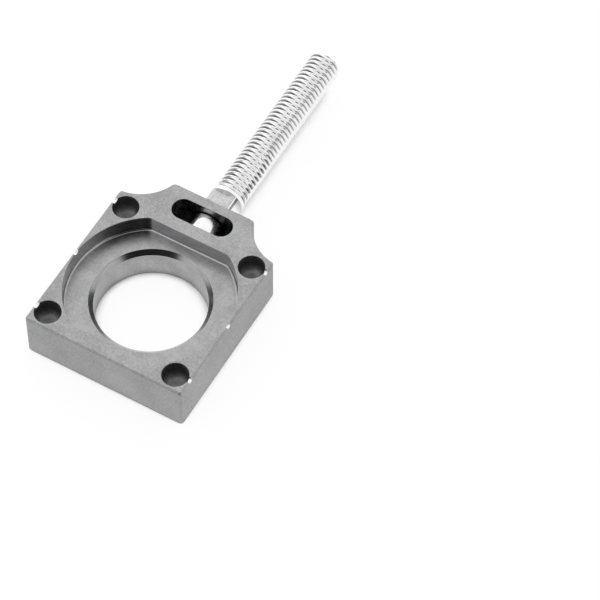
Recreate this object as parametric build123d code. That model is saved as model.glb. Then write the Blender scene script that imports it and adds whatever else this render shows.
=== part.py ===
from build123d import *
import os
from math import sqrt

# Chain adjuster of a motorcycle swingarm: an axle block with a captive adjuster stud.
# The origin is on the axle bore's axis, on the block's underside. +Z points up the bore,
# +Y runs along the stud to its free end, and +X is to the right.

# Axle bore, and the seat for the axle's head: a circle cut by two flats
axle_diameter = 25.0
axle_clearance = 0.2
bore_chamfer = 1.0
seat_diameter = 38.0
seat_flat_inset = 2.8
seat_depth = 4.2
seat_corner_radius = 2.2
seat_floor_radius = 0.45

# Block
block_thickness = 12.0
side_wall = 0.6
corner_radius = 0.8
top_chamfer = 0.35
edge_break = 0.25

# Four blind sockets, one in each corner
socket_diameter = 5.9
socket_depth = 4.5
socket_side_wall = 0.65
socket_seat_wall = 0.68
socket_rear_wall = 0.85
socket_shoulder_wall = 0.65

# Nose, its two scallops, and the slot that holds the stud's head
slot_seat_wall = 3.1
slot_length = 14.8
nose_wall = 2.6
nose_corner_radius = 1.4
scallop_radius = 10.4
scallop_overhang = 0.7

# Index marks across the two long edges
mark_width = 1.1
mark_reach = 1.0

# Adjuster stud, turned from round bar, with a square for the wrench
bar_diameter = 8.1
head_length = 4.9
head_clearance = 0.2
head_chamfer = 0.3
neck_diameter = 6.0
neck_clearance = 0.1
shank_clearance = 0.2
square_flats = 6.0
square_length = 4.75
square_turn = -8.0
collar_length = 1.05
thread_diameter = 7.78
thread_length = 44.0
tip_chamfer = 0.8

# Places that follow from the sizes above
bore_diameter = axle_diameter + axle_clearance
seat_flats = seat_diameter - 2 * seat_flat_inset
seat_floor = block_thickness - seat_depth
half_width = seat_diameter / 2 + side_wall
socket_x = half_width - socket_side_wall - socket_diameter / 2
socket_distance = seat_diameter / 2 + socket_seat_wall + socket_diameter / 2
socket_y = sqrt(socket_distance**2 - socket_x**2)
rear_y = -(socket_y + socket_diameter / 2 + socket_rear_wall)
shoulder_y = socket_y + socket_diameter / 2 + socket_shoulder_wall
slot_width = head_length + 2 * head_clearance
slot_y = seat_flats / 2 + slot_seat_wall + slot_width / 2
nose_y = slot_y + slot_width / 2 + nose_wall
stud_z = block_thickness / 2
head_start = slot_y - head_length / 2
head_end = slot_y + head_length / 2
square_start = nose_y + shank_clearance
square_end = square_start + square_length
collar_end = square_end + collar_length
tip_y = collar_end + thread_length


def block_outline():
    """The block seen from above: a plate whose far end is scalloped into a nose."""
    plate_length = nose_y - rear_y
    plate = Pos(0, rear_y + plate_length / 2) * Rectangle(2 * half_width, plate_length)
    scallop_x = half_width + scallop_overhang
    for side in (-1, 1):
        plate -= Pos(side * scallop_x, shoulder_y + scallop_radius) * Circle(scallop_radius)
    nose_corners = plate.vertices().group_by(Axis.Y)[-1]
    plate = fillet(nose_corners, nose_corner_radius)
    side_corners = plate.vertices().filter_by(lambda v: abs(v.X) > half_width - edge_break)
    return fillet(side_corners, corner_radius)


def axle_seat():
    """The pocket for the axle's head: round, with a flat towards the nose and one away."""
    outline = Circle(seat_diameter / 2) & Rectangle(2 * half_width, seat_flats)
    outline = fillet(outline.vertices(), seat_corner_radius)
    pocket = extrude(Pos(0, 0, seat_floor) * outline, seat_depth)
    floor_edges = pocket.edges().group_by(Axis.Z)[0]
    return fillet(floor_edges, seat_floor_radius)


def neck_notch():
    """The notch in the nose wall that the stud's neck drops into from below."""
    notch_radius = neck_diameter / 2 + neck_clearance
    notch_length = nose_y - slot_y
    notch_middle = slot_y + notch_length / 2
    arch = Pos(0, notch_middle, stud_z) * Rot(90, 0, 0) * Cylinder(notch_radius, notch_length)
    mouth = Pos(0, notch_middle, stud_z / 2) * Box(2 * notch_radius, notch_length, stud_z)
    return arch + mouth


def index_marks():
    """Half-round nicks across the long edges, level with the bore and the sockets."""
    marks = []
    for y in (-socket_y, 0, socket_y):
        for side in (-1, 1):
            place = Pos(side * half_width, y, block_thickness) * Rot(0, 90, 0)
            marks.append(place * Cylinder(mark_width / 2, 2 * mark_reach))
    return marks


def bore_rims(block):
    """The circles where the bore's wall ends, from the underside up."""
    circles = block.edges().filter_by(GeomType.CIRCLE)
    return circles.filter_by(lambda e: abs(e.radius - bore_diameter / 2) < 0.001).sort_by(Axis.Z)


def axle_block():
    block = extrude(block_outline(), block_thickness)
    outer_edges = block.edges().group_by(Axis.Z)
    block = chamfer(outer_edges[-1], top_chamfer)
    block = chamfer(outer_edges[0], edge_break)
    block -= axle_seat()
    block -= Cylinder(bore_diameter / 2, seat_floor, align=(Align.CENTER, Align.CENTER, Align.MIN))
    block = chamfer(bore_rims(block)[-1], bore_chamfer)
    block = chamfer(bore_rims(block)[0], edge_break)
    socket = Cylinder(socket_diameter / 2, socket_depth, align=(Align.CENTER, Align.CENTER, Align.MAX))
    for place in GridLocations(2 * socket_x, 2 * socket_y, 2, 2):
        block -= Pos(0, 0, block_thickness) * place * socket
    block -= extrude(Pos(0, slot_y) * SlotOverall(slot_length, slot_width), block_thickness)
    block -= neck_notch()
    for mark in index_marks():
        block -= mark
    return block


def stud_profile():
    """Half of the turned stud's section, from the head in the slot to the free end."""
    bar = bar_diameter / 2
    neck = neck_diameter / 2
    thread = thread_diameter / 2
    return [
        (0, head_start),
        (bar - head_chamfer, head_start),
        (bar, head_start + head_chamfer),
        (bar, head_end),
        (neck, head_end),
        (neck, square_start),
        (bar, square_start),
        (bar, collar_end),
        (thread, collar_end),
        (thread, tip_y - tip_chamfer),
        (thread - tip_chamfer, tip_y),
        (0, tip_y),
    ]


def adjuster_stud():
    stud = revolve(make_face(Polyline(stud_profile(), close=True)), axis=Axis.Y)
    square_middle = (square_start + square_end) / 2
    cutter = Pos(0, square_middle, square_flats / 2) * Box(
        bar_diameter, square_length, bar_diameter, align=(Align.CENTER, Align.CENTER, Align.MIN)
    )
    for side in range(4):
        stud -= Rot(0, square_turn + 90 * side, 0) * cutter
    return Pos(0, 0, stud_z) * stud


os.makedirs("parts", exist_ok=True)
export_step(axle_block(), "parts/axle_block.step")
export_step(adjuster_stud(), "parts/adjuster_stud.step")
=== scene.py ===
import math

import bmesh
import bpy
from mathutils import Matrix, Vector


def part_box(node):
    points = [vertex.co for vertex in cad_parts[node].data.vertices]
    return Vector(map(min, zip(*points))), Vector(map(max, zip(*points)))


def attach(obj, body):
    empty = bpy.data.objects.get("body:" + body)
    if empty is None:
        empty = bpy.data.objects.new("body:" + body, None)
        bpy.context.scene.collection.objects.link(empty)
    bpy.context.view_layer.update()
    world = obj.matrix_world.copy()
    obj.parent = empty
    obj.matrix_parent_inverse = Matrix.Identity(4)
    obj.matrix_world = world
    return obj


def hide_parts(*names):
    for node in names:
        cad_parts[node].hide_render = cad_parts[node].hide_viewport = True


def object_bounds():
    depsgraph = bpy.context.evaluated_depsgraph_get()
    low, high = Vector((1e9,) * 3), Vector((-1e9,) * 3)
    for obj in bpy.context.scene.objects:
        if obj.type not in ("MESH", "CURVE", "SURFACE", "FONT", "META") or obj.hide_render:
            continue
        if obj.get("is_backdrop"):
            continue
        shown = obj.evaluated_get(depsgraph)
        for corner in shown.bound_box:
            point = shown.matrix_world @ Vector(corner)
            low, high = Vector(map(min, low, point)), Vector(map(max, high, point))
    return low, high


bl_info = {
    "name": "Chain Adjuster",
    "version": (1, 0, 0),
    "blender": (4, 5, 0),
    "location": "View3D > Sidebar > Adjuster",
    "description": "Makes a swingarm chain adjuster: a machined axle block and its threaded stud",
    "category": "Add Mesh",
}

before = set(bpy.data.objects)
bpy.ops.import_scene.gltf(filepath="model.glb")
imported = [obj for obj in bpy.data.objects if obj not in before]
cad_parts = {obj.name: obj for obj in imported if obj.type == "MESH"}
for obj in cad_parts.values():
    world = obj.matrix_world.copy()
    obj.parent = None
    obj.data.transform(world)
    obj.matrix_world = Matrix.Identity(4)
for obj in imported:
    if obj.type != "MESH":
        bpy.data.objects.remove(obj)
CAD_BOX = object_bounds()
BLOCK_LOW, BLOCK_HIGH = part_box("axle_block")
STUD_LOW, STUD_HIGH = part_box("adjuster_stud")
STUD_AXIS_Z = (STUD_LOW.z + STUD_HIGH.z) / 2

MM = 0.001
WHITE = (1.0, 1.0, 1.0, 1.0)

# One straight step of an arc, in degrees, and the steps round a small edge
ARC_STEP = 3.0
EDGE_STEPS = 4
# An edge that bends by more than this is shaded as a hard one
SHARP_ANGLE = math.radians(28)
# Points that are nearer than this are the same point
MERGE_DISTANCE = 0.001 * MM
# How far a cutter runs on outside the block
OVERRUN = 1.4 * MM
# Depth of a 60-degree thread as a share of its pitch
THREAD_DEPTH_RATIO = 0.6134


def length(name, description, default):
    """A length property in metres."""
    return bpy.props.FloatProperty(
        name=name, description=description, default=default, min=0.0, precision=5,
        subtype="DISTANCE", unit="LENGTH",
    )


def share(name, description, default):
    """A property between 0 and 1."""
    return bpy.props.FloatProperty(
        name=name, description=description, default=default, min=0.0, max=1.0, subtype="FACTOR"
    )


def colour(name, description, default):
    """A linear colour property."""
    return bpy.props.FloatVectorProperty(
        name=name, description=description, default=default, min=0.0, max=1.0, size=3,
        subtype="COLOR",
    )


def angle(name, description, degrees):
    """An angle property, given in degrees and kept in radians."""
    return bpy.props.FloatProperty(
        name=name, description=description, default=math.radians(degrees), subtype="ANGLE",
        unit="ROTATION",
    )


class AxleBlockSizes(bpy.types.PropertyGroup):
    """Sizes of the machined block, seen from above with the nose away from the viewer."""

    bore_radius: length("Bore radius", "Radius of the axle bore", 12.6 * MM)
    bore_chamfer: length("Bore chamfer", "Chamfer between the bore and the seat's floor", 1.0 * MM)
    seat_radius: length("Seat radius", "Radius of the seat for the axle's head", 19.0 * MM)
    seat_flat: length("Seat flat", "Distance of the seat's flats from the bore's axis", 16.2 * MM)
    seat_corner: length("Seat corner", "Corner radius between the seat's arcs and flats", 2.2 * MM)
    seat_depth: length("Seat depth", "Depth of the seat below the top face", 4.2 * MM)
    seat_fillet: length("Seat fillet", "Fillet between the seat's wall and its floor", 0.45 * MM)
    socket_radius: length("Socket radius", "Radius of the four corner sockets", 2.95 * MM)
    socket_depth: length("Socket depth", "Depth of the corner sockets", 4.5 * MM)
    socket_foot: length("Socket foot", "Fillet between the sockets' walls and floors", 1.6 * MM)
    socket_place: length("Socket place", "Sockets' distance from both middle lines", 16.0 * MM)
    slot_near: length("Slot near edge", "Distance of the slot's near edge from the bore", 19.3 * MM)
    slot_width: length("Slot width", "Width of the slot along the stud", 5.3 * MM)
    slot_length: length("Slot length", "Length of the slot across the stud", 14.8 * MM)
    shoulder: length("Shoulder", "Distance of the shoulders from the bore's axis", 19.6 * MM)
    scallop_radius: length("Scallop radius", "Radius of the scallops beside the nose", 10.4 * MM)
    scallop_overhang: length("Scallop overhang", "From sides to the scallops' centres", 0.7 * MM)
    corner_radius: length("Corner radius", "Radius of the block's upright corners", 0.8 * MM)
    nose_corner: length("Nose corner", "Radius of the nose's upright corners", 1.4 * MM)
    top_chamfer: length("Top chamfer", "How far the top edge's chamfer runs in", 0.35 * MM)
    top_chamfer_drop: length("Chamfer drop", "How far the top edge's chamfer runs down", 0.6 * MM)
    outer_edge: length("Outer edge", "Rounding of the block's lower outer edges", 0.25 * MM)
    inner_edge: length("Inner edge", "Rounding of the edges of pockets and holes", 0.1 * MM)
    notch_radius: length("Notch radius", "Radius of the notch under the stud's neck", 3.1 * MM)
    mark_radius: length("Mark radius", "Radius of the half-round index marks", 0.72 * MM)
    mark_shift: length("Mark shift", "Marks' place nearer the nose than the sockets", 0.35 * MM)
    mark_reach: length("Mark reach", "How far the index marks run in from the sides", 1.0 * MM)


class AdjusterStudSizes(bpy.types.PropertyGroup):
    """Sizes of the turned and threaded stud, along the +Y axis."""

    bar_radius: length("Bar radius", "Radius of the head and the collar", 4.05 * MM)
    head_end: length("Head end", "Where the head stops, from the bore's axis", 24.4 * MM)
    neck_radius: length("Neck radius", "Radius of the neck in the nose wall", 3.0 * MM)
    square_start: length("Square start", "Where the wrench square begins", 27.4 * MM)
    square_end: length("Square end", "Where the wrench square stops", 32.15 * MM)
    square_flats: length("Square flats", "Width across the square's flats", 6.0 * MM)
    square_turn: angle("Square turn", "Turn of the square about the stud, from upright", -8.0)
    collar_end: length("Collar end", "Where the plain collar meets the thread", 33.2 * MM)
    first_crest: length("First crest", "Where the thread's first crest crosses the top", 34.05 * MM)
    run_in: length("Run-in", "Length over which the thread reaches its full depth", 0.5 * MM)
    thread_radius: length("Thread radius", "Major radius of the thread", 3.89 * MM)
    thread_pitch: length("Thread pitch", "Distance from crest to crest", 1.25 * MM)
    tip_chamfer: length("Tip chamfer", "Chamfer at the stud's free end", 0.8 * MM)
    edge: length("Edge", "Chamfer of the turned edges", 0.15 * MM)
    columns: bpy.props.IntProperty(
        name="Columns", description="Faces round the stud", default=144, min=24,
    )
    rows_per_pitch: bpy.props.IntProperty(
        name="Rows per pitch", description="Rows of faces in one turn of the thread",
        default=16, min=8,
    )


class AdjusterFinishes(bpy.types.PropertyGroup):
    """Colours and roughness of the metals."""

    alloy: colour("Alloy", "Bead-blasted light alloy", (0.375, 0.375, 0.38))
    alloy_roughness: share("Alloy roughness", "Roughness of the blasted faces", 0.42)
    turned: colour("Turned alloy", "The seat's floor and the bore", (0.375, 0.375, 0.38))
    turned_roughness: share("Turned roughness", "Roughness of the turned faces", 0.3)
    milled: colour("Milled alloy", "Walls of the pockets and the bore's chamfer", (0.4, 0.4, 0.405))
    milled_roughness: share("Milled roughness", "Roughness of the milled walls", 0.18)
    # Painted shade: the sockets' walls are darker than their floors and feet
    socket: colour("Socket alloy", "Sockets' walls, darkened as painted shade", (0.17, 0.17, 0.172))
    socket_foot: colour("Socket foot", "Sockets' floors and wall feet", (0.4, 0.4, 0.403))
    socket_roughness: share("Socket roughness", "Roughness of the sockets' walls", 0.6)
    # Painted shade: the slot's walls are darker deep down than near the top face
    slot: colour("Slot alloy", "Dark walls of the slot", (0.12, 0.12, 0.122))
    slot_rim: colour("Slot rim", "The slot's walls near the top face", (0.3, 0.3, 0.302))
    slot_roughness: share("Slot roughness", "Roughness of the slot's walls", 0.28)
    mark: colour("Mark", "Bare metal in the index marks", (0.9, 0.9, 0.9))
    steel: colour("Steel", "Bright plated steel", (0.96, 0.96, 0.965))
    steel_roughness: share("Steel roughness", "Roughness of the plated steel", 0.2)
    # Painted shade: the darker colour of the wrench square's upper flat
    square_painted_shade: colour("Square painted shade", "The upper flat of the wrench square", (0.5, 0.5, 0.505))
    # Painted shade in the thread's roots, also used for the painted dark reflection line on the
    # wrench square
    painted_dark_tone: colour("Thread root", "Painted shade in the thread's roots and the square's painted reflection", (0.27, 0.27, 0.275))


class AdjusterStage(bpy.types.PropertyGroup):
    """The floor, the light and the camera."""

    azimuth: angle("Azimuth", "Camera azimuth: 0 looks along +Y, 90 along -X", 29.45)
    elevation: angle("Elevation", "Camera elevation above the floor", 56.01)
    roll: angle("Roll", "Camera roll", 0.43)
    distance: length("Distance", "From the camera to the point that it aims at", 686.14 * MM)
    aim_x: length("Aim X", "The point on the floor that the camera aims at", 25.43 * MM)
    aim_y: length("Aim Y", "The point on the floor that the camera aims at", 20.82 * MM)
    lens: bpy.props.FloatProperty(
        name="Lens", description="Focal length in millimetres on a 36 mm sensor", default=187.05
    )
    floor_size: length("Floor size", "Side of the square floor", 3.0)
    floor: colour("Floor", "White floor", (0.8, 0.8, 0.8))
    sky: bpy.props.FloatProperty(
        name="Sky", description="Strength of the plain light from all round", default=1.0
    )


class Value:
    """A shader socket in a Python expression: each operator adds one Math node."""

    def __init__(self, graph, socket):
        self.graph = graph
        self.socket = socket

    def __add__(self, other):
        return self.graph.maths("ADD", self, other)

    def __radd__(self, other):
        return self.graph.maths("ADD", other, self)

    def __sub__(self, other):
        return self.graph.maths("SUBTRACT", self, other)

    def __rsub__(self, other):
        return self.graph.maths("SUBTRACT", other, self)

    def __mul__(self, other):
        return self.graph.maths("MULTIPLY", self, other)

    def __rmul__(self, other):
        return self.graph.maths("MULTIPLY", other, self)

    def __truediv__(self, other):
        return self.graph.maths("DIVIDE", self, other)

    def __rtruediv__(self, other):
        return self.graph.maths("DIVIDE", other, self)


class Graph:
    """A node tree that is filled by calls."""

    def __init__(self, tree):
        self.tree = tree
        tree.nodes.clear()

    def node(self, kind, settings=None, inputs=None, output=0):
        """Adds a node, sets it up, fills or links its inputs and gives one of its outputs."""
        made = self.tree.nodes.new(kind)
        for name, value in (settings or {}).items():
            setattr(made, name, value)
        for name, value in (inputs or {}).items():
            if isinstance(value, Value):
                self.tree.links.new(value.socket, made.inputs[name])
            else:
                made.inputs[name].default_value = value
        return Value(self, made.outputs[output]) if made.outputs else None

    def maths(self, operation, *values):
        inputs = dict(enumerate(values))
        return self.node("ShaderNodeMath", {"operation": operation}, inputs)

    def vector(self, operation, *values, output=0):
        inputs = dict(enumerate(values))
        return self.node("ShaderNodeVectorMath", {"operation": operation}, inputs, output)

    def smooth(self, value, low, high):
        """0 below low, 1 above high, and a smooth step between them."""
        return self.node(
            "ShaderNodeMapRange",
            {"interpolation_type": "SMOOTHSTEP"},
            {"Value": value, "From Min": low, "From Max": high},
        )

    def band(self, value, low, high, edge):
        """1 between low and high, and 0 further than edge outside them."""
        return self.smooth(value, low - edge, low) * (1.0 - self.smooth(value, high, high + edge))

    def mix(self, factor, first, second):
        """A colour between two colours. The node has several sockets of each name."""
        factor_socket, first_socket, second_socket, result_socket = 0, 6, 7, 2
        inputs = {factor_socket: factor, first_socket: first, second_socket: second}
        return self.node("ShaderNodeMix", {"data_type": "RGBA"}, inputs, result_socket)

    def place(self):
        """The point on the object, in metres."""
        return self.node("ShaderNodeTexCoord", output="Object")

    def part(self, place, axis):
        """One part of a vector."""
        return self.node("ShaderNodeSeparateXYZ", {}, {"Vector": place}, axis)

    def noise(self, place, size, detail=2.0):
        """Noise whose lumps are about size across."""
        inputs = {"Vector": place, "Scale": 1.0 / size, "Detail": detail}
        return self.node("ShaderNodeTexNoise", {}, inputs)

    def patches(self, noise, reach=0.2):
        """Noise stretched to fill 0 to 1. It lies about 0.5, and mostly within reach of it."""
        return self.smooth(noise, 0.5 - reach, 0.5 + reach)

    def uneven(self, place, size, level, swing, detail=2.0):
        """A value that wanders by half of swing about a level, in lumps of about size across."""
        return self.noise(place, size, detail) * swing + (level - swing / 2)

    def bump(self, height, depth, normal=None):
        """A normal for a surface of that height, as a share of the depth."""
        inputs = {"Height": height, "Distance": depth}
        if normal:
            inputs["Normal"] = normal
        return self.node("ShaderNodeBump", {}, inputs)


def four(rgb, strength=1.0):
    """A colour with full alpha, made darker or lighter by its strength."""
    return (*(strength * part for part in rgb), 1.0)


def metal(name, base, roughness, normal=None):
    """A metal material. The makers of base, roughness and normal take the graph and the place."""
    material = bpy.data.materials.new(name)
    material.use_nodes = True
    graph = Graph(material.node_tree)
    place = graph.place()
    inputs = {
        "Base Color": base(graph, place),
        "Metallic": 1.0,
        "Roughness": roughness(graph, place),
    }
    if normal:
        inputs["Normal"] = normal(graph, place)
    shader = graph.node("ShaderNodeBsdfPrincipled", {}, inputs)
    graph.node("ShaderNodeOutputMaterial", {}, {"Surface": shader})
    return material


def blasted_alloy(finishes):
    """Bead-blasted light alloy: a fine even grain, a little cloudy."""
    grain_size, grain_depth = 0.42 * MM, 0.03 * MM
    cloud_size, cloud_share = 7.0 * MM, 0.4
    darkest, lightest = 0.78, 1.12

    def base(graph, place):
        clouds = graph.noise(place, cloud_size) * cloud_share
        grain = graph.noise(place, grain_size) * (1.0 - cloud_share)
        shade = graph.patches(clouds + grain, reach=0.18)
        return graph.mix(shade, four(finishes.alloy, darkest), four(finishes.alloy, lightest))

    def roughness(graph, place):
        return graph.uneven(place, cloud_size, level=finishes.alloy_roughness, swing=0.1)

    def normal(graph, place):
        return graph.bump(graph.noise(place, grain_size, detail=3.0), grain_depth)

    return metal("blasted alloy", base, roughness, normal)


def turned_alloy(finishes):
    """The seat's floor and the bore, with the faint rings that the cutter left."""
    ring_pitch, ring_depth, ring_wander = 0.22 * MM, 0.002 * MM, 0.2
    grain_size, grain_depth = 0.3 * MM, 0.006 * MM
    cloud_share = 0.5
    darkest, lightest = 0.82, 1.12

    def rings(graph, place):
        flattened = graph.vector("MULTIPLY", place, (1.0, 1.0, 0.0))
        radius = graph.vector("LENGTH", flattened, output="Value")
        wander = graph.noise(place, size=3.0 * MM) * ring_wander
        return graph.maths("SINE", (radius / ring_pitch + wander) * math.tau)

    def base(graph, place):
        clouds = graph.noise(place, size=4.0 * MM) * cloud_share
        specks = graph.noise(place, size=0.5 * MM) * (1.0 - cloud_share)
        shade = graph.patches(clouds + specks, reach=0.18)
        return graph.mix(shade, four(finishes.turned, darkest), four(finishes.turned, lightest))

    def roughness(graph, place):
        return graph.uneven(place, 2.0 * MM, level=finishes.turned_roughness, swing=0.1)

    def normal(graph, place):
        grain = graph.bump(graph.noise(place, grain_size, detail=3.0), grain_depth)
        return graph.bump(rings(graph, place), ring_depth, normal=grain)

    return metal("turned alloy", base, roughness, normal)


def milled_alloy(finishes):
    """Walls that a milling cutter left: smooth, with faint lines round them."""
    line_width, line_depth = 0.3 * MM, 0.003 * MM
    line_squeeze = (0.12, 0.12, 1.0)
    darkest = 0.85

    def lines(graph, place):
        return graph.noise(graph.vector("MULTIPLY", place, line_squeeze), line_width)

    def base(graph, place):
        shade = graph.patches(lines(graph, place))
        return graph.mix(shade, four(finishes.milled, darkest), four(finishes.milled))

    def roughness(graph, place):
        return graph.uneven(place, 2.0 * MM, level=finishes.milled_roughness, swing=0.08)

    def normal(graph, place):
        return graph.bump(lines(graph, place), line_depth)

    return metal("milled alloy", base, roughness, normal)


def alloy_with_painted_shade(name, deep_tone, high_tone, level, deep, high):
    """Alloy in the sockets and the slot, with painted shade: its tone changes between two heights.
    """
    darkest = (0.8, 0.8, 0.8)

    def base(graph, place):
        height = graph.smooth(graph.part(place, "Z"), deep, high)
        tone = graph.mix(height, four(deep_tone), four(high_tone))
        shade = graph.patches(graph.noise(place, size=0.8 * MM))
        return graph.mix(shade, graph.vector("MULTIPLY", tone, darkest), tone)

    def roughness(graph, place):
        return graph.uneven(place, 1.0 * MM, level, swing=0.1)

    return metal(name, base, roughness)


def bare_mark(finishes):
    """Bare bright metal in the index marks."""
    darkest = 0.9

    def base(graph, place):
        shade = graph.patches(graph.noise(place, size=0.5 * MM))
        return graph.mix(shade, four(finishes.mark, darkest), four(finishes.mark))

    def roughness(graph, place):
        return graph.uneven(place, 0.3 * MM, level=0.25, swing=0.1)

    return metal("bare mark", base, roughness)


def turning_marks(graph, place):
    """Faint rings round the stud, left by turning."""
    ring_width, ring_depth = 0.12 * MM, 0.0015 * MM
    ring_squeeze = (0.15, 1.0, 0.15)
    squeezed = graph.vector("MULTIPLY", place, ring_squeeze)
    return graph.bump(graph.noise(squeezed, ring_width), ring_depth)


def round_the_stud(graph, place):
    """The way from the stud's axis to the point, without its part along the axis."""
    from_axis = graph.vector("SUBTRACT", place, (0.0, 0.0, STUD_AXIS_Z))
    return graph.vector("MULTIPLY", from_axis, (1.0, 0.0, 1.0))


def plated_steel(finishes, sizes):
    """Bright plated steel with painted shade in the thread's roots, left out in painted highlight
    strips on the lit side of the stud.
    """
    # Depths below the crests where the painted shade starts and where it is full
    painted_shade_from, painted_shade_to = 0.1 * MM, 0.38 * MM
    # How much deeper both are where a painted highlight strip lifts the painted shade
    highlight_strip_depth = 0.68 * MM
    # Turns from the stud's top towards +X, for the painted highlight strip's two edges and the
    # painted highlight on the side
    left_from, left_to = math.radians(-32), math.radians(22)
    right_from, right_to = math.radians(48), math.radians(70)
    side_from, side_to = math.radians(82), math.radians(102)
    # Places along the stud where the first turns end and where the far turns begin
    first_from, first_to = 35.2 * MM, 36.2 * MM
    far_from, far_to = 41.0 * MM, 50.0 * MM
    # The far turns have a narrower strip with a softer right edge, and lighter roots in it
    far_narrowing, far_softening, far_fading = math.radians(26), 0.3, 0.4
    # The first turns have lighter roots all round
    first_fading = 0.3
    darkest = 0.94
    end_edge = 0.1 * MM
    chamfer_start = STUD_HIGH.y - sizes.tip_chamfer

    def painted_highlight_strips(graph, turn, first, far):
        """How much painted highlight lifts the roots' painted shade, from the direction round the
        stud and the place along it.
        """
        right_edge = graph.smooth(turn + far * far_narrowing, right_from, right_to)
        strip = graph.smooth(turn, left_from, left_to)
        strip = strip * (1.0 - right_edge * (1.0 - far * far_softening))
        return strip + graph.smooth(turn, side_from, side_to) * (1.0 - first)

    def painted_root_shade(graph, across, along):
        """Painted shade: 0 on the thread's crests and off the thread, 1 in its roots."""
        radius = graph.vector("LENGTH", across, output="Value")
        sideways, upwards = (graph.part(across, axis) for axis in "XZ")
        turn = graph.maths("ARCTAN2", sideways, upwards)
        first = 1.0 - graph.smooth(along, first_from, first_to)
        far = graph.smooth(along, far_from, far_to)
        depth = sizes.thread_radius - radius - painted_highlight_strips(graph, turn, first, far) * highlight_strip_depth
        painted_shade = graph.smooth(depth, painted_shade_from, painted_shade_to)
        painted_shade = painted_shade * graph.band(along, sizes.collar_end, chamfer_start, end_edge)
        painted_shade = painted_shade * (1.0 - graph.smooth(turn, 0.0, right_from) * far * far_fading)
        return painted_shade * (1.0 - first * first_fading)

    def base(graph, place):
        painted_shade = painted_root_shade(graph, round_the_stud(graph, place), graph.part(place, "Y"))
        patchy = graph.uneven(place, 0.7 * MM, level=1.0, swing=0.6, detail=3.0)
        shade = graph.patches(graph.noise(place, size=2.5 * MM))
        bright = graph.mix(shade, four(finishes.steel, darkest), four(finishes.steel))
        # Painted shade in the roots, lifted where the painted highlight strips run
        return graph.mix(painted_shade * patchy, bright, four(finishes.painted_dark_tone))

    def roughness(graph, place):
        return graph.uneven(place, 1.5 * MM, level=finishes.steel_roughness, swing=0.08)

    return metal("plated steel", base, roughness, turning_marks)


def square_painted_shade(finishes, sizes):
    """The wrench square: its upper flat is darkened and mottled as painted shade, and a painted
    dark reflection runs as a line below one corner.
    """
    upward = (math.sin(sizes.square_turn), 0.0, math.cos(sizes.square_turn))
    sideways = (math.cos(sizes.square_turn), 0.0, -math.sin(sizes.square_turn))
    flat_place = sizes.square_flats / 2
    # Heights of the painted dark reflection line on the square's side flat
    reflection_low, reflection_high = 1.35 * MM, 2.4 * MM
    edge = 0.1 * MM
    grain_size, grain_depth = 0.3 * MM, 0.004 * MM
    darkest = 0.72

    def base(graph, place):
        across = round_the_stud(graph, place)
        up = graph.vector("DOT_PRODUCT", across, upward, output="Value")
        side = graph.vector("DOT_PRODUCT", across, sideways, output="Value")
        shade = graph.patches(graph.noise(place, 0.6 * MM, detail=4.0))
        painted_shade, plain = four(finishes.square_painted_shade, darkest), four(finishes.square_painted_shade)
        flat_painted_shade = graph.mix(shade, painted_shade, plain)
        # Painted shade on the upper flat, which takes the darker mottled colour
        on_top = graph.band(up, flat_place - edge, flat_place + edge, edge)
        flats = graph.mix(on_top, four(finishes.steel), flat_painted_shade)
        on_side = graph.band(side, flat_place - edge, flat_place + edge, edge)
        # Painted reflection: a dark line along the side flat below one corner
        line = graph.band(up, reflection_low, reflection_high, edge) * on_side
        return graph.mix(line, flats, four(finishes.painted_dark_tone))

    def roughness(graph, place):
        return graph.uneven(place, 0.8 * MM, level=0.3, swing=0.1)

    def normal(graph, place):
        return graph.bump(graph.noise(place, grain_size, detail=3.0), grain_depth)

    return metal("square steel with painted shade", base, roughness, normal)


def arc(centre, radius, start, end, facing=1.0):
    """Points and normals along an arc, in degrees. facing -1 turns the normals to its centre."""
    steps = max(2, round(abs(end - start) / ARC_STEP))
    track = []
    for step in range(steps + 1):
        turn = math.radians(start + (end - start) * step / steps)
        way = Vector((math.cos(turn), math.sin(turn)))
        track.append((centre + way * radius, way * facing))
    return track


def joined(*tracks):
    """One closed outline from tracks that meet end to end, without its double points."""
    outline = []
    for point, normal in (pair for track in tracks for pair in track):
        if not outline or (point - outline[-1][0]).length > MERGE_DISTANCE:
            outline.append((point, normal))
    if (outline[0][0] - outline[-1][0]).length <= MERGE_DISTANCE:
        outline.pop()
    return outline


def mirrored(track, x=1.0, y=1.0):
    """The track reflected, and run backwards so that it goes on where the other one ends."""
    flip = Matrix(((x, 0.0), (0.0, y)))
    return [(flip @ point, flip @ normal) for point, normal in reversed(track)]


def circle(centre, radius):
    return joined(arc(centre, radius, 0.0, 360.0))


def pill(centre, overall, width):
    """A slot's outline, long across the stud."""
    radius = width / 2
    reach = Vector((overall / 2 - radius, 0.0))
    return joined(
        arc(centre + reach, radius, -90.0, 90.0), arc(centre - reach, radius, 90.0, 270.0)
    )


def bearing(start, end):
    """The direction from start to end, in degrees."""
    return math.degrees(math.atan2(end.y - start.y, end.x - start.x))


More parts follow.
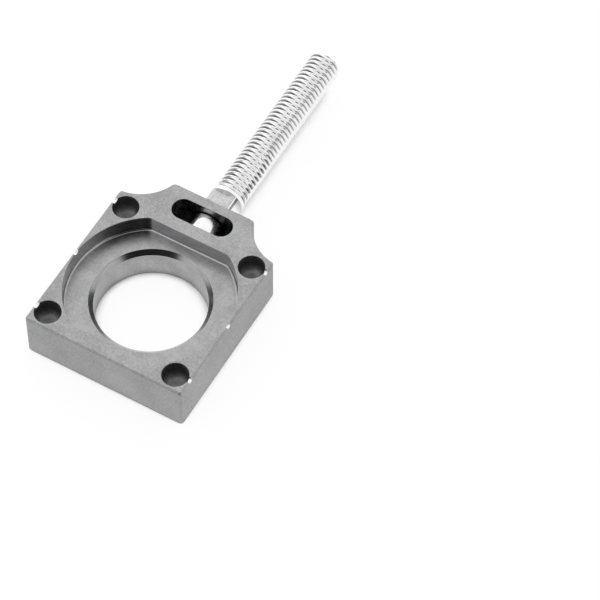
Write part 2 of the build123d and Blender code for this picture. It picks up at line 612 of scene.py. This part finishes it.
def block_outline(sizes):
    """The block from above: square at the rear, and scalloped on both sides of its nose."""
    half_width = BLOCK_HIGH.x
    rear, nose = BLOCK_LOW.y, BLOCK_HIGH.y
    scallop = Vector((half_width + sizes.scallop_overhang, sizes.shoulder + sizes.scallop_radius))
    corner = sizes.corner_radius
    corner_x = half_width - corner
    shoulder_reach = sizes.scallop_radius + corner
    shoulder_y = scallop.y - math.sqrt(shoulder_reach**2 - (scallop.x - corner_x) ** 2)
    shoulder = Vector((corner_x, shoulder_y))
    tip_reach = sizes.scallop_radius + sizes.nose_corner
    tip_y = nose - sizes.nose_corner
    tip = Vector((scallop.x - math.sqrt(tip_reach**2 - (scallop.y - tip_y) ** 2), tip_y))
    to_shoulder = bearing(shoulder, scallop)
    to_tip = bearing(tip, scallop)
    right = (
        arc(Vector((corner_x, rear + corner)), corner, -90.0, 0.0)
        + arc(shoulder, corner, 0.0, to_shoulder)
        + arc(scallop, sizes.scallop_radius, to_shoulder + 180.0, to_tip + 180.0, facing=-1.0)
        + arc(tip, sizes.nose_corner, to_tip, 90.0)
    )
    return joined(right, mirrored(right, x=-1.0))


def seat_outline(sizes):
    """The seat for the axle's head: a circle with a flat towards the nose and one away."""
    corner_y = sizes.seat_flat - sizes.seat_corner
    corner_x = math.sqrt((sizes.seat_radius - sizes.seat_corner) ** 2 - corner_y**2)
    corner = Vector((corner_x, corner_y))
    turn = bearing(Vector((0.0, 0.0)), corner)
    quarter = arc(Vector((0.0, 0.0)), sizes.seat_radius, 0.0, turn)
    quarter += arc(corner, sizes.seat_corner, turn, 90.0)
    half = quarter + mirrored(quarter, x=-1.0)
    return joined(half, mirrored(half, y=-1.0))


def bend(offset, z, radius, start, end):
    """A rounded edge in a wall's section, as offsets from the outline and heights."""
    section = []
    for step in range(EDGE_STEPS + 1):
        turn = math.radians(start + (end - start) * step / EDGE_STEPS)
        section.append((offset + radius * math.cos(turn), z + radius * math.sin(turn)))
    return section


def wall(mesh, outline, section, slots):
    """Sweeps a section round an outline, and gives its first and last ring of vertices.

    The section's bands take their material slots in turn, and the last one goes on to the end.
    """
    rings = []
    for offset, z in section:
        places = [point + normal * offset for point, normal in outline]
        rings.append([mesh.verts.new((*place, z)) for place in places])
    for band, (upper, lower) in enumerate(zip(rings, rings[1:])):
        for left, right in zip(range(len(upper)), [*range(1, len(upper)), 0]):
            face = mesh.faces.new((upper[left], upper[right], lower[right], lower[left]))
            face.material_index = slots[min(band, len(slots) - 1)]
            face.smooth = True
    return rings[0], rings[-1]


def flat(mesh, rings, slot):
    """Fills the flat face between an outer ring and the rings of its holes."""
    edges = []
    for ring in rings:
        for first, second in zip(ring, ring[1:] + ring[:1]):
            edges.append(mesh.edges.get((first, second)))
    filled = bmesh.ops.triangle_fill(mesh, edges=edges, use_beauty=True, use_dissolve=False)
    for face in filled["geom"]:
        if isinstance(face, bmesh.types.BMFace):
            face.material_index = slot
            face.smooth = True


def new_object(name, mesh):
    """Turns a finished bmesh into an object in the scene, with its faces turned outwards."""
    bmesh.ops.recalc_face_normals(mesh, faces=mesh.faces)
    data = bpy.data.meshes.new(name)
    mesh.to_mesh(data)
    mesh.free()
    made = bpy.data.objects.new(name, data)
    bpy.context.scene.collection.objects.link(made)
    return made


def apply_modifiers(piece):
    """Bakes a piece's modifiers into its mesh."""
    seen = piece.evaluated_get(bpy.context.evaluated_depsgraph_get())
    data = bpy.data.meshes.new_from_object(seen)
    piece.modifiers.clear()
    piece.data = data


def cut_away(piece, tool):
    """Subtracts the tool from the piece. The cut's faces keep the tool's material."""
    modifier = piece.modifiers.new("cut", "BOOLEAN")
    modifier.operation = "DIFFERENCE"
    modifier.solver = "EXACT"
    modifier.material_mode = "TRANSFER"
    modifier.object = tool
    apply_modifiers(piece)
    bpy.data.objects.remove(tool)


def shade_crisp(piece):
    """Smooth shading that keeps flat faces flat and hard edges hard."""
    piece.data.set_sharp_from_angle(angle=SHARP_ANGLE)
    weighted = piece.modifiers.new("flat faces", "WEIGHTED_NORMAL")
    weighted.keep_sharp = True
    weighted.weight = 100
    apply_modifiers(piece)


ALLOY_SLOT, TURNED_SLOT, MILLED_SLOT, SOCKET_SLOT, DARK_SLOT = 0, 1, 2, 3, 4
PLATED_SLOT, SQUARE_SLOT = 0, 1


def block_body(sizes):
    """The block without its notch and marks, wall by wall and face by face."""
    mesh = bmesh.new()
    top, floor = BLOCK_HIGH.z, BLOCK_HIGH.z - sizes.seat_depth
    outer, inner, fillet = sizes.outer_edge, sizes.inner_edge, sizes.seat_fillet
    chamfer = sizes.bore_chamfer
    around_the_block = [(-sizes.top_chamfer, top), (0.0, top - sizes.top_chamfer_drop)]
    around_the_block += bend(-outer, outer, outer, 0.0, -90.0)
    into_the_seat = bend(inner, top - inner, inner, 90.0, 180.0)
    into_the_seat += bend(-fillet, floor + fillet, fillet, 0.0, -90.0)
    down_the_bore = [(chamfer, floor), (0.0, floor - chamfer)]
    down_the_bore += bend(inner, inner, inner, 180.0, 270.0)
    down_the_slot = bend(inner, top - inner, inner, 90.0, 180.0)
    down_the_slot += bend(inner, inner, inner, 180.0, 270.0)
    socket_floor = top - sizes.socket_depth
    into_a_socket = bend(inner, top - inner, inner, 90.0, 180.0)
    foot = sizes.socket_foot
    into_a_socket += bend(-foot, socket_floor + foot, foot, 0.0, -90.0)

    outer_top, outer_bottom = wall(mesh, block_outline(sizes), around_the_block, [ALLOY_SLOT])
    seat_top, seat_foot = wall(mesh, seat_outline(sizes), into_the_seat, [MILLED_SLOT])
    bore = circle(Vector((0.0, 0.0)), sizes.bore_radius)
    bore_top, bore_bottom = wall(mesh, bore, down_the_bore, [MILLED_SLOT, TURNED_SLOT])
    slot_middle = Vector((0.0, sizes.slot_near + sizes.slot_width / 2))
    slot = pill(slot_middle, sizes.slot_length, sizes.slot_width)
    slot_top, slot_bottom = wall(mesh, slot, down_the_slot, [DARK_SLOT])
    holes_in_top = [seat_top, slot_top]
    for x in (-1.0, 1.0):
        for y in (-1.0, 1.0):
            middle = Vector((x, y)) * sizes.socket_place
            socket = circle(middle, sizes.socket_radius)
            socket_top, socket_foot = wall(mesh, socket, into_a_socket, [SOCKET_SLOT])
            holes_in_top.append(socket_top)
            flat(mesh, [socket_foot], SOCKET_SLOT)
    flat(mesh, [outer_top, *holes_in_top], ALLOY_SLOT)
    flat(mesh, [seat_foot, bore_top], TURNED_SLOT)
    flat(mesh, [outer_bottom, bore_bottom, slot_bottom], ALLOY_SLOT)
    return new_object("axle block body", mesh)


def rod(radius, start, end):
    """A round cutter along a line."""
    mesh = bmesh.new()
    way = end - start
    spin = way.to_track_quat("Z", "Y").to_matrix().to_4x4()
    bmesh.ops.create_cone(
        mesh, cap_ends=True, segments=48, radius1=radius, radius2=radius, depth=way.length,
        matrix=Matrix.Translation((start + end) / 2) @ spin,
    )
    return new_object("cutter", mesh)


def notch_cutter(sizes):
    """The notch in the nose wall under the stud's neck: an arch, open to the underside."""
    mesh = bmesh.new()
    near = sizes.slot_near + sizes.slot_width / 2
    far = BLOCK_HIGH.y + OVERRUN
    below = BLOCK_LOW.z - OVERRUN
    middle = Vector((0.0, STUD_AXIS_Z))
    arch = [point for point, _ in arc(middle, sizes.notch_radius, 0.0, 180.0)]
    arch += [Vector((-sizes.notch_radius, below)), Vector((sizes.notch_radius, below))]
    near_face = [mesh.verts.new((point.x, near, point.y)) for point in arch]
    far_face = [mesh.verts.new((point.x, far, point.y)) for point in arch]
    mesh.faces.new(near_face)
    mesh.faces.new(far_face)
    for first, second in zip(range(len(arch)), [*range(1, len(arch)), 0]):
        mesh.faces.new((near_face[first], near_face[second], far_face[second], far_face[first]))
    return new_object("notch cutter", mesh)


def give_materials(piece, *materials):
    for material in materials:
        piece.data.materials.append(material)


class ADJUSTER_OT_axle_block(bpy.types.Operator):
    """Make the machined axle block, with its seat, sockets, slot, notch and index marks"""

    bl_idname = "adjuster.axle_block"
    bl_label = "Axle Block"

    def execute(self, context):
        sizes = context.scene.axle_block_sizes
        finishes = context.scene.adjuster_finishes
        block = block_body(sizes)
        block.name = "machined_axle_block"
        alloy = blasted_alloy(finishes)
        top = BLOCK_HIGH.z
        socket_floor = top - sizes.socket_depth
        foot_height = 2.4 * MM
        rim_start, rim_end = 4.0 * MM, 1.0 * MM
        # Painted shade in the sockets: walls darker than their floors and feet
        in_sockets = alloy_with_painted_shade(
            "socket alloy", finishes.socket_foot, finishes.socket, finishes.socket_roughness,
            socket_floor, socket_floor + foot_height,
        )
        # Painted shade in the slot: darker deep down, lighter near the top face
        in_slot = alloy_with_painted_shade(
            "slot alloy", finishes.slot, finishes.slot_rim, finishes.slot_roughness,
            top - rim_start, top - rim_end,
        )
        turned, milled = turned_alloy(finishes), milled_alloy(finishes)
        give_materials(block, alloy, turned, milled, in_sockets, in_slot)
        notch = notch_cutter(sizes)
        give_materials(notch, in_slot)
        cut_away(block, notch)
        mark_metal = bare_mark(finishes)
        reach = Vector((sizes.mark_reach, 0.0, 0.0))
        for side in (-1.0, 1.0):
            for step in (-1.0, 0.0, 1.0):
                along = step * sizes.socket_place + sizes.mark_shift
                edge = Vector((side * BLOCK_HIGH.x, along, top))
                mark = rod(sizes.mark_radius, edge - reach, edge + reach)
                give_materials(mark, mark_metal)
                cut_away(block, mark)
        shade_crisp(block)
        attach(block, "block")
        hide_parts("axle_block")
        return {"FINISHED"}


def square_radius(sizes, turn):
    """Distance from the axis to the milled square's surface, in a direction from its first flat."""
    half = sizes.square_flats / 2
    widest = max(abs(math.cos(turn)), abs(math.sin(turn)))
    return min(sizes.bar_radius, half / widest)


def thread_radius(sizes, turn, y):
    """Distance from the axis to the thread's surface: sharp flanks, and flats at crest and root."""
    pitch = sizes.thread_pitch
    # A crest's flat is an eighth of the pitch and a root's flat is a sixth
    crest_half, root_half = pitch / 16, pitch / 12
    depth = THREAD_DEPTH_RATIO * pitch
    phase = ((y - sizes.first_crest) / pitch - turn / math.tau) % 1.0
    from_crest = (0.5 - abs(phase - 0.5)) * pitch
    flank = pitch / 2 - crest_half - root_half
    share_cut = min(max((from_crest - crest_half) / flank, 0.0), 1.0)
    run_in = min((y - sizes.collar_end) / sizes.run_in, 1.0)
    fade = run_in * run_in * (3.0 - 2.0 * run_in)
    tip_cone = sizes.thread_radius - sizes.tip_chamfer + (STUD_HIGH.y - y)
    return min(sizes.thread_radius - depth * share_cut * fade, tip_cone)


def stud_rows(sizes):
    """The stud's rows from head to tip: each has its place and the radius in each direction."""
    bar, edge, neck = sizes.bar_radius, sizes.edge, sizes.neck_radius
    fine_edge = edge / 3
    head = STUD_LOW.y

    def even(radius):
        return lambda turn, y: radius

    def square(turn, y):
        return square_radius(sizes, turn)

    def thread(turn, y):
        return thread_radius(sizes, turn + sizes.square_turn, y)

    rows = [
        (head, even(bar - 2 * edge)),
        (head + 2 * edge, even(bar)),
        (sizes.head_end - edge, even(bar)),
        (sizes.head_end, even(bar - edge)),
        (sizes.head_end, even(neck)),
        (sizes.square_start, even(neck - edge)),
        (sizes.square_start, square),
        (sizes.square_end, square),
        (sizes.square_end, even(bar - fine_edge)),
        (sizes.square_end + fine_edge, even(bar)),
        (sizes.collar_end - edge, even(bar)),
        (sizes.collar_end, even(sizes.thread_radius)),
    ]
    thread_length = STUD_HIGH.y - sizes.collar_end
    count = round(thread_length / sizes.thread_pitch * sizes.rows_per_pitch)
    for row in range(1, count + 1):
        rows.append((sizes.collar_end + thread_length * row / count, thread))
    return rows


def stud_body(sizes):
    """The stud as a grid of rows along the axis and columns round it, closed at both ends."""
    mesh = bmesh.new()
    turns = [math.tau * column / sizes.columns for column in range(sizes.columns)]
    rings = []
    for y, radius in stud_rows(sizes):
        ring = []
        for turn in turns:
            reach = radius(turn, y)
            around = turn + sizes.square_turn
            place = (reach * math.sin(around), y, STUD_AXIS_Z + reach * math.cos(around))
            ring.append(mesh.verts.new(place))
        rings.append(ring)
    for near, far in zip(rings, rings[1:]):
        middle = (near[0].co.y + far[0].co.y) / 2
        on_square = sizes.square_start < middle < sizes.square_end
        for left, right in zip(range(len(near)), [*range(1, len(near)), 0]):
            face = mesh.faces.new((near[left], near[right], far[right], far[left]))
            face.material_index = SQUARE_SLOT if on_square else PLATED_SLOT
    for ring in (rings[0], rings[-1]):
        middle = mesh.verts.new((0.0, ring[0].co.y, STUD_AXIS_Z))
        for left, right in zip(ring, ring[1:] + ring[:1]):
            mesh.faces.new((left, right, middle))
    for face in mesh.faces:
        face.smooth = True
    return new_object("threaded_adjuster_stud", mesh)


class ADJUSTER_OT_adjuster_stud(bpy.types.Operator):
    """Make the adjuster stud, with its head, neck, wrench square, collar and thread"""

    bl_idname = "adjuster.adjuster_stud"
    bl_label = "Adjuster Stud"

    def execute(self, context):
        sizes = context.scene.adjuster_stud_sizes
        stud = stud_body(sizes)
        finishes = context.scene.adjuster_finishes
        give_materials(stud, plated_steel(finishes, sizes), square_painted_shade(finishes, sizes))
        shade_crisp(stud)
        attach(stud, "stud")
        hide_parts("adjuster_stud")
        return {"FINISHED"}


def white_where_seen(graph):
    """1 for rays from the camera, a mirror or glass, and 0 for the rays that light the object."""
    camera, glossy, glass = (
        graph.node("ShaderNodeLightPath", output=name)
        for name in ("Is Camera Ray", "Is Glossy Ray", "Is Transmission Ray")
    )
    return camera + glossy + glass


def backward(azimuth, elevation):
    """The direction from the object to a viewer or a light."""
    level = math.cos(elevation)
    return Vector((math.sin(azimuth) * level, -math.cos(azimuth) * level, math.sin(elevation)))


def studio_sky(stage):
    """Even light from all round, brighter low behind the object and dark round the camera."""
    world = bpy.data.worlds.new("studio")
    world.use_nodes = True
    graph = Graph(world.node_tree)
    way = graph.node("ShaderNodeTexCoord", output="Generated")

    def within(turn, elevation, inner, outer):
        """1 inside a cone about a direction, 0 outside a wider one; turn is from the camera."""
        aim = backward(stage.azimuth + math.radians(turn), math.radians(elevation))
        near = graph.vector("DOT_PRODUCT", way, tuple(aim), output="Value")
        return graph.smooth(near, math.cos(math.radians(outer)), math.cos(math.radians(inner)))

    dark_low = within(turn=0.0, elevation=30.0, inner=34.0, outer=46.0)
    dark_high = within(turn=37.0, elevation=56.0, inner=13.0, outer=26.0)
    glow_behind = within(turn=200.0, elevation=22.0, inner=14.0, outer=40.0)
    glow_left = within(turn=-59.0, elevation=56.0, inner=8.0, outer=22.0)
    darkness, behind_strength, left_strength = 0.97, 0.7, 0.3
    open_sky = (1.0 - dark_low * darkness) * (1.0 - dark_high * darkness)
    light = open_sky + glow_behind * behind_strength + glow_left * left_strength
    seen = graph.node("ShaderNodeLightPath", output="Is Camera Ray")
    level = light * stage.sky * (1.0 - seen) + seen
    shader = graph.node("ShaderNodeBackground", {}, {"Color": WHITE, "Strength": level})
    graph.node("ShaderNodeOutputWorld", {}, {"Surface": shader})
    bpy.context.scene.world = world


def white_floor(stage):
    """A matt white floor that looks white and keeps the object's shadow."""
    gap_below = 0.02 * MM
    white_strength, most_white = 1.06, 0.88
    shadow_reach, shadow_samples = 7.0 * MM, 16
    shadow_full, shadow_gone = 0.4, 0.54
    mesh = bmesh.new()
    bmesh.ops.create_grid(mesh, x_segments=1, y_segments=1, size=stage.floor_size / 2)
    floor = new_object("studio_floor", mesh)
    floor.location.z = BLOCK_LOW.z - gap_below
    material = bpy.data.materials.new("studio floor")
    material.use_nodes = True
    graph = Graph(material.node_tree)
    matt = graph.node("ShaderNodeBsdfDiffuse", {}, {"Color": four(stage.floor)})
    glow = graph.node("ShaderNodeEmission", {}, {"Strength": white_strength})
    settings, inputs = {"samples": shadow_samples}, {"Distance": shadow_reach}
    openness = graph.node("ShaderNodeAmbientOcclusion", settings, inputs, "AO")
    unshaded = graph.smooth(openness, shadow_full, shadow_gone)
    share_white = white_where_seen(graph) * unshaded * most_white
    both = graph.node("ShaderNodeMixShader", {}, {0: share_white, 1: matt, 2: glow})
    graph.node("ShaderNodeOutputMaterial", {}, {"Surface": both})
    floor.data.materials.append(material)
    floor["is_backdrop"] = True


def photo_camera(stage):
    """The camera at the photograph's angle, with its slight roll."""
    data = bpy.data.cameras.new("camera")
    data.lens = stage.lens
    data.clip_start = 10.0 * MM
    camera = bpy.data.objects.new("camera", data)
    bpy.context.scene.collection.objects.link(camera)
    back = backward(stage.azimuth, stage.elevation)
    aim = Vector((stage.aim_x, stage.aim_y, BLOCK_LOW.z))
    turned = (-back).to_track_quat("-Z", "Y").to_matrix() @ Matrix.Rotation(stage.roll, 3, "Z")
    camera.matrix_world = Matrix.Translation(aim + back * stage.distance) @ turned.to_4x4()
    bpy.context.scene.camera = camera


class ADJUSTER_OT_stage(bpy.types.Operator):
    """Make the white floor, the studio light and the camera"""

    bl_idname = "adjuster.stage"
    bl_label = "Stage"

    def execute(self, context):
        stage = context.scene.adjuster_stage
        studio_sky(stage)
        white_floor(stage)
        photo_camera(stage)
        context.scene.view_settings.view_transform = "Standard"
        return {"FINISHED"}


class ADJUSTER_PT_panel(bpy.types.Panel):
    """Lists the pieces of the chain adjuster"""

    bl_idname = "ADJUSTER_PT_panel"
    bl_label = "Chain Adjuster"
    bl_space_type = "VIEW_3D"
    bl_region_type = "UI"
    bl_category = "Adjuster"

    def draw(self, context):
        for operator in OPERATORS:
            self.layout.operator(operator.bl_idname)


OPERATORS = (ADJUSTER_OT_stage, ADJUSTER_OT_axle_block, ADJUSTER_OT_adjuster_stud)
SETTINGS = {
    "axle_block_sizes": AxleBlockSizes,
    "adjuster_stud_sizes": AdjusterStudSizes,
    "adjuster_finishes": AdjusterFinishes,
    "adjuster_stage": AdjusterStage,
}


def register():
    for group in SETTINGS.values():
        bpy.utils.register_class(group)
    for name, group in SETTINGS.items():
        setattr(bpy.types.Scene, name, bpy.props.PointerProperty(type=group))
    for shown in (*OPERATORS, ADJUSTER_PT_panel):
        bpy.utils.register_class(shown)


def unregister():
    for shown in reversed((*OPERATORS, ADJUSTER_PT_panel)):
        bpy.utils.unregister_class(shown)
    for name, group in reversed(SETTINGS.items()):
        delattr(bpy.types.Scene, name)
        bpy.utils.unregister_class(group)


def write_sizes():
    """Gathers the boxes of the solids and of the dressed model."""
    boxes = {"cad": CAD_BOX, "visual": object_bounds()}
    plain = {name: [list(corner) for corner in box] for name, box in boxes.items()}


def main():
    register()
    bpy.ops.adjuster.stage()
    bpy.ops.adjuster.axle_block()
    bpy.ops.adjuster.adjuster_stud()
    write_sizes()


if __name__ == "__main__":
    main()
